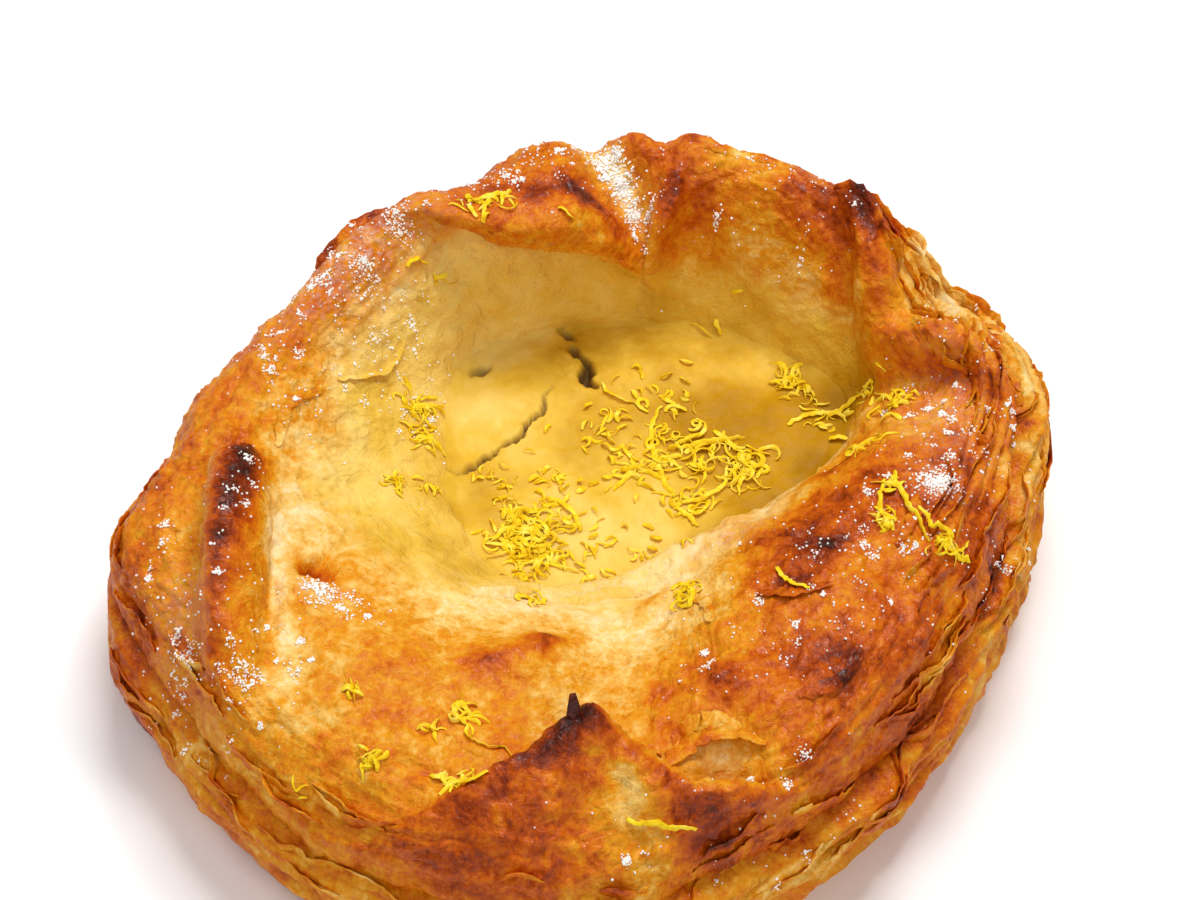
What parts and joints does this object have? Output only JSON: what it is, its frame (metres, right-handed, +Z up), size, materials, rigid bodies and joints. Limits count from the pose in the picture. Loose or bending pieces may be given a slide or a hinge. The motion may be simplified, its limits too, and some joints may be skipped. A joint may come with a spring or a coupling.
{
  "type": "danish pastry",
  "caption": "Round lemon danish: folded, browned laminated dough around a sunken pool of baked custard, resting on a flat base.",
  "frame": {"origin": "middle of the outline, on the flat base that the pastry rests on", "axes": "+Z up, +X along the longest side, towards the folded corner where the layers of the dough show; -Y towards the near fold with the upright tip"},
  "size_m": [0.1057, 0.1028, 0.0336],
  "materials": {
    "baked_dough": "egg-glazed crust, browned on the rim and the folds, pale towards the pool",
    "custard": "moist baked custard with a soft sheen"
  },
  "bodies": {
    "root": {"dough": "baked_dough", "custard": "custard"}
  },
  "joints": []
}
